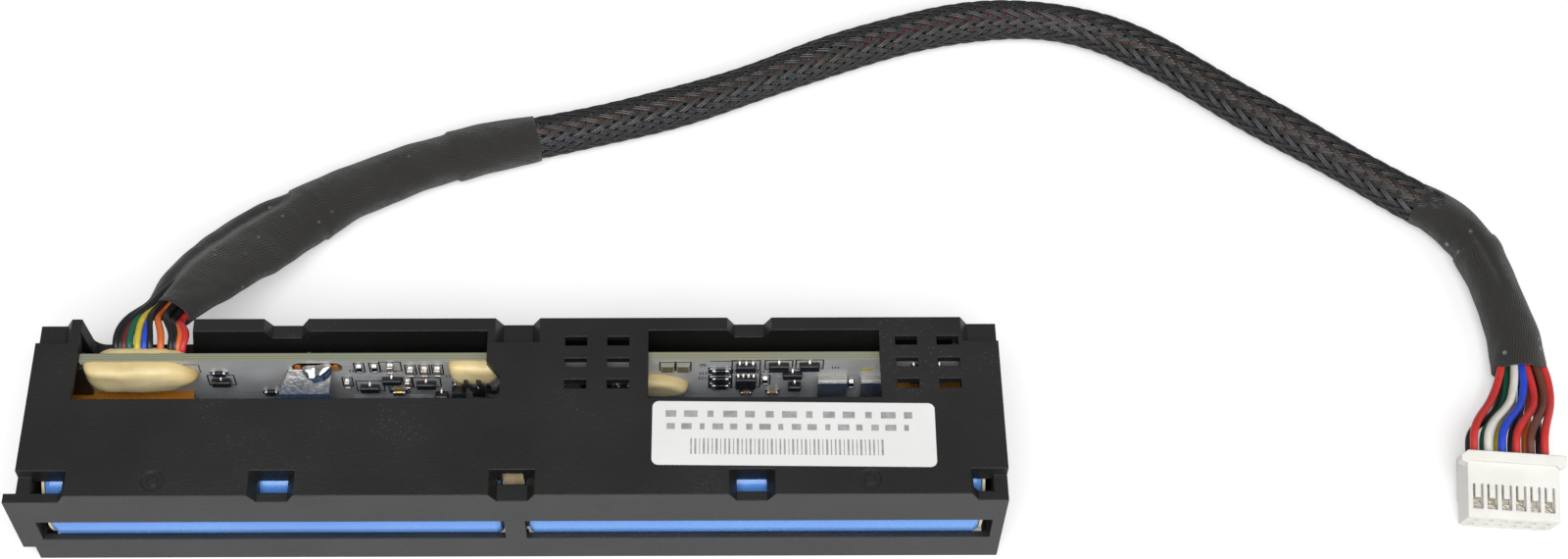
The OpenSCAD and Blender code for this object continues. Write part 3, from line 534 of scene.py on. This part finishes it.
finishes = {
    "housing_black": {
        "nodes": ["housing"], "color": (0.007, 0.007, 0.0066), "other": (0.01, 0.01, 0.0096),
        "specks": (0.05, 0.05, 0.047), "patch": 60.0, "grain": 2600.0, "speck": 1500.0,
        "rough": (0.38, 0.5), "relief": 0.02, "edge": 0.22, "sockets": {"Specular IOR Level": 0.7},
    },
    "cell_sleeve": {
        "nodes": ["cell_left", "cell_right"], "color": (0.1, 0.3, 0.82), "other": (0.13, 0.35, 0.86),
        "patch": 45.0, "grain": 900.0, "rough": (0.2, 0.3), "relief": 0.015, "sockets": {"Coat Weight": 0.3},
    },
    "insulator_paper": {
        "nodes": ["cell_insulators"], "color": (0.8, 0.72, 0.5), "other": (0.72, 0.62, 0.42),
        "patch": 300.0, "rough": (0.7, 0.85), "relief": 0.02,
    },
    "spacer_paper": {
        "nodes": ["cell_spacer"], "color": (0.4, 0.31, 0.18), "other": (0.3, 0.22, 0.12),
        "patch": 420.0, "rough": (0.65, 0.85), "relief": 0.05,
    },
    "nickel": {
        "nodes": ["link_tab", "end_tab_left", "end_tab_right", "board_tab", "nickel_tabs"],
        "color": (0.7, 0.69, 0.66), "other": (0.6, 0.58, 0.54), "patch": 350.0, "grain": 1500.0,
        "rough": (0.3, 0.52), "relief": 0.03, "edge": 0.12, "sockets": {"Metallic": 1.0},
    },
    "solder": {
        "nodes": ["board_tab_solder", "rear_solder"], "color": (0.74, 0.74, 0.73), "other": (0.6, 0.59, 0.56),
        "patch": 700.0, "grain": 900.0, "rough": (0.1, 0.3), "relief": 0.12, "sockets": {"Metallic": 1.0},
    },
    "inductor_body": {
        "nodes": ["inductor"], "color": (0.03, 0.03, 0.032), "other": (0.05, 0.05, 0.05),
        "patch": 500.0, "rough": (0.3, 0.5), "relief": 0.02, "edge": 0.15,
    },
    "amber_film": {
        "nodes": ["film_tape_left", "film_tape_right"], "color": (0.75, 0.3, 0.03), "other": (0.62, 0.23, 0.02),
        "patch": 200.0, "rough": (0.12, 0.24), "relief": 0.02,
        "sockets": {"Transmission Weight": 0.25, "Coat Weight": 0.4},
    },
    "wire_black": {
        "nodes": ["sense_wires"], "color": (0.012, 0.012, 0.013), "other": (0.018, 0.018, 0.018),
        "patch": 400.0, "rough": (0.28, 0.4), "relief": 0.02,
    },
    "label_white": {
        "nodes": ["rating_label"], "color": (0.8, 0.8, 0.79), "other": (0.84, 0.84, 0.835),
        "patch": 70.0, "grain": 1200.0, "rough": (0.38, 0.5), "relief": 0.01, "edge": 0.1,
    },
    "plug_nylon": {
        "nodes": ["plug_shell"], "color": (0.78, 0.765, 0.71), "other": (0.83, 0.82, 0.78),
        "patch": 160.0, "grain": 1800.0, "rough": (0.34, 0.46), "relief": 0.015, "edge": 0.25,
        "sockets": {"Subsurface Weight": 0.3, "Subsurface Scale": 0.0012, "Subsurface Radius": (1, 0.9, 0.7)},
    },
    "terminal_tin": {
        "nodes": ["plug_terminals"], "color": (0.78, 0.68, 0.48), "other": (0.72, 0.7, 0.66),
        "patch": 900.0, "rough": (0.2, 0.34), "relief": 0.02, "edge": 0.12, "sockets": {"Metallic": 1.0},
    },
}
for slotName, finish in finishes.items():
    look = finishLook(slotName, finish)
    for nodeName in finish["nodes"]:
        nodes[nodeName].data.materials.clear()
        nodes[nodeName].data.materials.append(look)

# The board: grey solder mask over copper tracks on its faces, and bare laminate in layers along its edges
boardLook, tree, shader = newLook("boardLaminate", {"Specular IOR Level": 0.5})
source = place(tree, "TexCoord").outputs
spot = place(tree, "SeparateXYZ", {0: source["Object"]}).outputs
flat = place(tree, "CombineXYZ", {0: spot[0], 1: spot[2]}).outputs[0]
detail = useGroup(tree, surface, Vector=source["Object"], Patch=140.0, Grain=3000.0)
tracks = place(tree, "TexBrick", {
    "Vector": flat, "Scale": 1.0, "Mortar Size": 0.00012, "Mortar Smooth": 0.4, "Brick Width": 0.0052,
    "Row Height": 0.0011,
}, offset=0.37)
laid = math(tree, "MULTIPLY", tracks.outputs["Fac"], between(tree, detail["Patches"], 0.3, 0.6))
mask = mixed(tree, detail["Patches"], (0.44, 0.435, 0.405, 1), (0.52, 0.51, 0.475, 1))
mask = mixed(tree, math(tree, "MULTIPLY", laid, 0.45), mask, (0.6, 0.59, 0.56, 1))
layers = math(tree, "SINE", math(tree, "MULTIPLY", spot[1], 2 * pi / 0.00042))
glass = mixed(tree, between(tree, layers, -1, 1), (0.2, 0.2, 0.13, 1), (0.33, 0.32, 0.22, 1))
glass = mixed(tree, math(tree, "MULTIPLY", detail["Patches"], 0.5), glass, (0.2, 0.26, 0.2, 1))
facing = math(tree, "ABSOLUTE", place(tree, "SeparateXYZ", {0: source["Normal"]}).outputs[1])
tree.links.new(mixed(tree, between(tree, facing, 0.4, 0.6), glass, mask), shader.inputs["Base Color"])
tree.links.new(between(tree, detail["Patches"], 0, 1, 0.28, 0.4), shader.inputs["Roughness"])
bumped(tree, shader, math(tree, "MULTIPLY_ADD", detail["Grain"], 0.3, laid), 0.02)
nodes["circuit_board"].data.materials.clear()
nodes["circuit_board"].data.materials.append(boardLook)
print("CAD nodes finished")


# ---------- parts on the board ----------

boardSet = {"face": 8.35, "thick": 1.3}
partColors = {
    "black": (0.011, 0.011, 0.012, 0), "epoxy": (0.018, 0.018, 0.019, 0), "ceramic": (0.33, 0.2, 0.1, 0),
    "tin": (0.78, 0.77, 0.75, 1), "dull": (0.5, 0.49, 0.46, 1), "gold": (0.8, 0.55, 0.16, 1),
    "print": (0.014, 0.014, 0.015, 0), "white": (0.75, 0.75, 0.74, 0), "olive": (0.16, 0.15, 0.075, 0),
    "pale": (0.3, 0.29, 0.22, 0), "flux": (0.5, 0.14, 0.02, 0), "green": (0.012, 0.075, 0.03, 0),
    "lens": (0.05, 0.052, 0.07, 0), "yellow": (0.6, 0.5, 0.05, 0), "ink": (0.03, 0.03, 0.03, 0),
}
partLook = tintedLook("boardParts", {"patch": 900, "grain": 2600, "dark": 0.75, "rough": (0.22, 0.42), "relief": 0.012})


# Blocks on the face of the board, with round corners and a bevelled front. Each is a colour, x, z, how far
# off the face it starts, width, height, depth and the radius of its corners.
def blocks(rows):
    x, z, start, wide, high, deep, corner = np.array([row[1:] for row in rows], float).T[:, :, None, None]
    corner = np.minimum(corner, np.minimum(wide, high) * 0.49)
    bevel = np.minimum(np.minimum(wide, high), deep) * 0.2
    turn = -np.radians([0, 45, 90, 90, 135, 180, 180, 225, 270, 270, 315, 360])
    right, up = np.sign(np.cos(turn.reshape(4, 3)[:, 1])).repeat(3), np.sign(np.sin(turn.reshape(4, 3)[:, 1])).repeat(3)
    out = np.array([0, 1, 1, 1])[:, None] * deep - np.array([0, 1, 0.3, 0])[:, None] * bevel
    inset = np.array([0, 0, 0.3, 1])[:, None] * bevel
    u = right * (wide / 2 - corner - inset) + corner * np.cos(turn)
    v = up * (high / 2 - corner - inset) + corner * np.sin(turn)
    points = np.stack([x + u, boardSet["face"] - start - out + 0 * u, z + v], axis=-1)
    return points, np.array([partColors[row[0]] for row in rows])[:, None, None]


# A chip with two tinned ends in solder: body, ends and the solder's low fillets
def chipRows(body, x, z, wide, high, deep, turned=False):
    rows = [(body, 0, 0, 0.04, wide * 0.62, high * 0.96, deep - 0.04, 0.04)]
    for side in (-1, 1):
        rows.append(("tin", side * wide * 0.39, 0, 0.02, wide * 0.22, high, deep, 0.08))
        rows.append(("tin", side * wide * 0.56, 0, 0, wide * 0.24, high * 1.08, deep * 0.34, 0.2))
    turnedRows = [(r[0], x, z + r[1], r[3], r[5], r[4], *r[6:]) for r in rows]
    return turnedRows if turned else [(r[0], x + r[1], z, *r[3:]) for r in rows]


# A moulded package with tinned legs in its lower and its upper side
def packageRows(x, z, wide, high, deep, lower, upper):
    rows = [("epoxy", x, z, 0.1, wide, high, deep - 0.1, 0.1)]
    for legs, side in ((lower, -1), (upper, 1)):
        for i in range(legs):
            legX = x + (i - (legs - 1) / 2) * wide / max(legs, 1.6)
            rows.append(("tin", legX, z + side * (high / 2 + 0.12), 0.1, 0.34, 0.3, 0.4, 0.06))
            rows.append(("tin", legX, z + side * (high / 2 + 0.36), 0.02, 0.5, 0.5, 0.16, 0.16))
    return rows


def squareRows(x, z):
    return [("pale", x, z, 0.0, 2.0, 2.0, 0.6, 0.12), ("olive", x, z, 0.55, 1.5, 1.5, 0.12, 0.1)]


# Printed outlines: four thin bars round each part
def frameRows(x, z, wide, high, line=0.2, color="print"):
    sides = [(0, high / 2, wide + line, line), (0, -high / 2, wide + line, line)]
    sides += [(wide / 2, 0, line, high), (-wide / 2, 0, line, high)]
    return [(color, x + dx, z + dz, -0.03, w, h, 0.05, 0.02) for dx, dz, w, h in sides]


partSet = {
    "chip_resistors": {
        "slot": "resistor_body", "name": "resistors",
        "rows": [
            *[("black", 31.35, z, 2.5, 1.25, 0.55) for z in (15.4, 13.1, 11.1)],
            *[("black", x, z, 1.6, 0.85, 0.5, True) for x, z in ((-20.6, 16.6), (-22.9, 16.6), (38.1, 12.7), (51.2, 11.7))],
            *[("black", x, z, 2.0, 1.2, 0.55) for x, z in ((-44.1, 15.2), (-37, 9.6), (10, 14.4), (16.6, 11))],
        ],
        "make": chipRows,
    },
    "chip_capacitors": {
        "slot": "capacitor_body", "name": "capacitors",
        "rows": [
            *[("ceramic", x, z, 1.7, 0.95, 0.85, True) for x, z in ((-15.25, 15.9), (-13.15, 15.9), (-11.2, 15.9), (-18.2, 16.9))],
            *[("ceramic", x, z, 1.6, 0.8, 0.8, True) for x, z in ((-25.1, 12.4), (-16, 12.3))],
            *[("ceramic", x, z, 1.6, 0.85, 0.8) for x, z in ((35.3, 9.7), (39.3, 9.7), (-8.2, 12.4))],
        ],
        "make": chipRows,
    },
    "transistors": {
        "slot": "chip_epoxy", "name": "transistorParts",
        "rows": [(x, z, 2.9, 1.3, 1.0, 2, 1) for x, z in ((-44.1, 13), (-21.8, 11.1), (-13.2, 12.1), (-18.3, 13.3), (42.2, 14.7))],
        "make": packageRows,
    },
    "control_chips": {
        "slot": "chip_epoxy", "name": "controlChips",
        "rows": [
            (35.2, 16.9, 3, 1.5, 0.95, 3, 3), (40.1, 17.1, 3, 1.5, 0.95, 2, 1), (44.7, 17.15, 3, 1.5, 0.95, 2, 1),
            (35.2, 12.6, 3.1, 2.8, 1.0, 4, 4), (12.6, 11.2, 4.6, 4.2, 1.2, 6, 6), (62.2, 15.2, 4.6, 4.2, 1.2, 6, 6),
        ],
        "make": packageRows,
    },
    "diodes": {
        "slot": "diode_body", "name": "diodeParts",
        "rows": [(x, z, 1.9, 1.2, 1.25, 1, 1) for x, z in ((-5.4, 10.2), (-11.1, 9), (42.6, 11.6))],
        "make": packageRows,
    },
    "square_parts": {
        "slot": "square_body", "name": "squareParts", "rows": [(23.4, 16.7), (25.75, 16.7)], "make": squareRows,
    },
    "gold_part": {
        "slot": "gold_body", "name": "goldPart", "rows": [("gold", -17.5, 9.9, 1.9, 1.0, 0.8)], "make": chipRows,
    },
}
for nodeName, part in partSet.items():
    points, tint = blocks([row for values in part["rows"] for row in part["make"](*values)])
    settle(newPiece(part["name"], [points], partLook, tint=[tint], smooth=False), part["slot"], nodeName)

# Print and marks on the board: outlines round the parts, a white bar, and the solder's brown edges
printSet = {
    "frames": [
        *[(31.35, z, 3.5, 1.75) for z in (15.4, 13.1, 11.1)], (35.2, 16.9, 4.2, 2.9), (35.2, 12.6, 4.3, 4.3),
        (40.1, 17.1, 4.1, 2.6), (44.7, 17.15, 4.1, 2.6), (23.4, 16.7, 2.3, 2.4), (25.75, 16.7, 2.3, 2.4),
        *[(x, 15.9, 1.6, 2.7) for x in (-15.25, -13.15, -11.2)], (-18.2, 16.9, 3.2, 2.6), (-44.1, 13, 4, 2.9),
        (-21.8, 11.1, 4.2, 3), (-25.1, 12.4, 1.5, 2.6), (-16, 12.3, 1.5, 2.7), (-20.6, 16.6, 1.5, 2.6),
        (-22.9, 16.6, 1.5, 2.6), (-13.2, 12.1, 4.3, 2.9), (-17.5, 9.9, 3.0, 1.7), (38.1, 12.7, 1.5, 2.7),
    ],
    "bars": [
        ("white", -18.6, 7.9, 12.2, 0.9), ("pale", -38.4, 9.2, 6.2, 0.16), ("pale", -38.4, 8.2, 6.2, 0.16),
        ("yellow", 53.3, 15.6, 1.7, 0.8), ("print", 39.6, 14.9, 2.2, 0.3), ("white", 40.6, 13.7, 1.6, 0.3),
        ("print", -48.4, 17.6, 2.6, 0.16), ("print", -46.9, 16.4, 0.16, 2.4), ("print", 33.0, 18.2, 6.5, 0.16),
    ],
    "ticks": [(-24.4, 15.6), (-19.2, 12.4), (-10.0, 14.0), (-8.9, 17.9), (28.2, 13.2), (28.3, 14.6), (33.2, 15.3), (42.4, 13.0), (37.0, 15.0), (48.2, 16.2)],
}
rows = [row for values in printSet["frames"] for row in frameRows(*values)]
rows += [(color, x, z, -0.03, w, h, 0.055, 0.1) for color, x, z, w, h in printSet["bars"]]
for x, z in printSet["ticks"]:
    rows += [("print", x + 0.45 * k, z, -0.03, 0.16, 0.75 - 0.1 * k, 0.05, 0.02) for k in range(3)]
# The first row is a dark green sheet at the back of the board's oval hole: painted shade that stands for the dark seen
# through the hole. The two flux rows beside it are the solder's brown edges.
rows += [("green", -29.2, 16.6, -1.25, 7.5, 2.5, 0.3, 1.2), ("flux", -32.1, 16.7, -0.1, 0.9, 1.3, 0.35, 0.3), ("flux", -26.4, 16.8, -0.1, 0.8, 1.2, 0.35, 0.3)]
points, tint = blocks(rows)
settle(newPiece("boardPrint", [points], partLook, tint=[tint], smooth=False), "board_laminate")

# Plain bars of print on the label, which stand for its two lines and its row of stripes
labelSet = {"place": (41.9, -5.05, 20.0), "turn": -0.73, "rise": 0.012, "left": -18.0, "right": 18.0}


def labelBars():
    bars = []
    for y, high, pitch, gap, right in ((3.2, 1.1, 2.9, 0.7, 18.0), (1.1, 1.0, 2.3, 0.6, 16.5), (-2.2, 2.6, 0.62, 0.3, 13.5)):
        x = np.arange(labelSet["left"] + (3 if high > 2 else 0), right, pitch)
        wide = (pitch - gap) * (0.7 + 0.3 * np.sin(2.4 * np.arange(len(x))))
        bars.append(np.stack([x, np.full(len(x), y), wide / 2, np.full(len(x), high / 2)], axis=1))
    x, y, wide, high = np.concatenate(bars).T[:, :, None, None]
    right, up = np.array([-1, -1, 1, 1]), np.array([-1, 1, 1, -1])
    z = np.array([-0.02, labelSet["rise"]])[:, None]
    points = np.stack([x + right * wide + 0 * z, y + up * high + 0 * z, z + 0 * x + 0 * right], axis=-1)
    turn = radians(labelSet["turn"])
    turned = points @ np.array([[np.cos(turn), np.sin(turn), 0], [-np.sin(turn), np.cos(turn), 0], [0, 0, 1]])
    return turned + labelSet["place"]


labelPrint = finishLook("labelInk", {
    "color": (0.3, 0.3, 0.3), "other": (0.42, 0.42, 0.42), "patch": 900.0, "rough": (0.4, 0.55), "relief": 0.005,
})
settle(newPiece("labelPrint", [labelBars()], labelPrint, smooth=False), "label_white")


# Glue and solder set in rounded pools. The outline is a closed smooth line through a few points in x and z.
# The height falls off towards it as the square root of 1 - s^7, where s runs from 0 in the middle to 1 at the
# edge, and slow waves dent it. side is -1 on the face of the board and 1 behind it.
def pool(shape, rings=26, columns=96):
    knots = np.array(shape["outline"], float)
    count = len(knots)
    t = np.arange(columns) * count / columns
    k = t.astype(int)
    u = (t - k)[:, None]
    p = [knots[(k + d) % count] for d in (-1, 0, 1, 2)]
    edge = 0.5 * (2 * p[1] + (p[2] - p[0]) * u + (2 * p[0] - 5 * p[1] + 4 * p[2] - p[3]) * u**2 + (3 * p[1] - p[0] - 3 * p[2] + p[3]) * u**3)
    centre = knots.mean(axis=0)
    s = np.sin(np.linspace(0.02, 1, rings) * pi / 2)[:, None]
    flat = centre + (edge - centre) * s[..., None]
    dents = sum(a * np.sin(fx * flat[..., 0] + fz * flat[..., 1] + turn) for a, fx, fz, turn in shape["dents"])
    low = 1 - shape.get("taper", 0) * np.clip((flat[..., 0] - centre[0]) / 8, 0, 1) ** 2
    height = shape["height"] * low * (1 - s**shape.get("power", 7)) ** 0.5 * (1 + dents)
    base = boardSet["face"] + (boardSet["thick"] if shape["side"] > 0 else 0)
    points = np.stack([flat[..., 0], base + shape["side"] * (height - 0.04), flat[..., 1]], axis=-1)
    shade = np.clip(s + 0 * height / shape["height"], 0, 1)[..., None] ** 6 * np.clip(shape.get("tip", 0.3) + 0 * flat[..., :1], 0, 1)
    inner, outer = np.array(shape["color"]), np.array(shape["edgeColor"])
    tip = np.clip((flat[..., :1] - shape["tipFrom"]) / 3, 0, 1) if "tipFrom" in shape else 0
    tint = inner + (outer - inner) * np.clip(shade + 0.8 * tip, 0, 1)
    return points[None], tint[None]


glueColors = {"color": (0.86, 0.7, 0.37, 0), "edgeColor": (0.5, 0.34, 0.11, 0)}
glueDents = [(0.035, 0.55, 0.4, 1.0), (0.03, -0.4, 1.1, 0.3), (0.015, 1.3, 0.7, 2.2)]
poolSet = {
    "glueFront": {
        "node": "glue_wires_front", "slot": "glue", "side": -1, "height": 2.5, "dents": glueDents, "tipFrom": -49.6,
        "outline": [
            (-63.9, 14), (-64.1, 16.6), (-63.4, 18.6), (-58, 18.7), (-52.4, 18.7), (-49.8, 18), (-47.2, 15.5),
            (-48.8, 13.8), (-51.6, 12.8), (-57.5, 12.5), (-62.2, 12.7),
        ], **glueColors,
    },
    "glueRear": {
        "node": "glue_wires_rear", "slot": "glue", "side": 1, "height": 1.75, "dents": glueDents,
        "outline": [(-49, 17.6), (-48.6, 15), (-51, 12.8), (-56, 12.5), (-61.5, 12.9), (-62.9, 15.5), (-61.5, 18.1), (-56, 18.4), (-52, 18.3)],
        **glueColors,
    },
    "glueMiddle": {
        "node": "glue_middle", "slot": "glue", "side": -1, "height": 1.8, "dents": glueDents,
        "outline": [(-9.5, 17), (-8.8, 18.5), (-5, 18.6), (-2, 18.4), (-1.8, 15.6), (-3.4, 13.5), (-6.6, 13.4), (-8.9, 14.8)],
        **glueColors,
    },
    "glueRight": {
        "node": "glue_right", "slot": "glue", "side": -1, "height": 1.9, "dents": glueDents, "tipFrom": 25.4,
        "outline": [(18.5, 13.4), (19.4, 14.4), (22.4, 14.4), (25, 13.4), (26.5, 12), (26, 10.8), (23.6, 10), (20.2, 9.9), (18.5, 11)],
        **glueColors,
    },
    "solderPool": {
        "node": "board_tab_solder", "slot": "solder", "side": -1, "height": 1.9, "power": 2.2,
        "dents": [(0.12, 3.1, 1.5, 1.0), (0.1, -2.4, 4.1, 0.3), (0.06, 5.2, -3.0, 2.2)],
        "outline": [(-31.4, 17.2), (-29.5, 17.5), (-27.2, 17.8), (-26.8, 16.2), (-28, 14.6), (-30, 14.4), (-31.3, 15.4)],
        "color": (0.8, 0.8, 0.79, 1), "edgeColor": (0.8, 0.72, 0.5, 1),
    },
}
glueLook = tintedLook("setGlue", {
    "patch": 260, "grain": 700, "dark": 0.86, "rough": (0.26, 0.44), "relief": 0.05,
    "sockets": {"Subsurface Weight": 0.35, "Subsurface Scale": 0.0016, "Subsurface Radius": (1, 0.7, 0.35)},
})
for name, shape in poolSet.items():
    points, tint = pool(shape)
    piece = newPiece(name, [points if shape["side"] < 0 else points[:, :, ::-1]], glueLook if shape["slot"] == "glue" else partLook, tint=[tint if shape["side"] < 0 else tint[:, :, ::-1]])
    settle(piece, shape["slot"], shape["node"])
print("board dressed")


# A plain pale floor, and soft light from above and in front
floorLook, tree, shader = newLook("floor", {"Roughness": 0.9, "Specular IOR Level": 0.1})
shader.inputs["Base Color"].default_value = (0.86, 0.86, 0.86, 1)
rays = place(tree, "LightPath").outputs
tree.links.new(math(tree, "MULTIPLY", rays["Is Camera Ray"], 0.3), shader.inputs["Emission Strength"])
shader.inputs["Emission Color"].default_value = (1, 1, 1, 1)
floorMesh = bpy.data.meshes.new("floor")
floorMesh.from_pydata([(-4, -4, 0), (4, -4, 0), (4, 4, 0), (-4, 4, 0)], [], [(0, 1, 2, 3)])
floorMesh.materials.append(floorLook)
floor = bpy.data.objects.new("floor", floorMesh)
scene.collection.objects.link(floor)

world = bpy.data.worlds.new("studio")
scene.world = world
world.use_nodes = True
tree = world.node_tree
rays = place(tree, "LightPath").outputs
lit = math(tree, "MAXIMUM", rays["Is Camera Ray"], 0.24)
tree.links.new(lit, tree.nodes["Background"].inputs["Strength"])
tree.nodes["Background"].inputs["Color"].default_value = (1, 1, 1, 1)

lampSet = [
    {"name": "key", "place": (-0.05, -0.46, 0.76), "size": 0.7, "watts": 7.2},
    {"name": "fill", "place": (0.75, -0.35, 0.5), "size": 0.6, "watts": 2.6},
]
for lamp in lampSet:
    data = bpy.data.lights.new(lamp["name"], "AREA")
    data.size, data.energy = lamp["size"], lamp["watts"]
    lampObject = bpy.data.objects.new(lamp["name"], data)
    lampObject.location = lamp["place"]
    aim = np.array([0.04, 0.02, 0]) - lamp["place"]
    lampObject.rotation_euler = (float(np.arctan2(np.hypot(*aim[:2]), -aim[2])), 0, float(np.arctan2(-aim[0], aim[1])))
    scene.collection.objects.link(lampObject)
print("floor and lamps placed")
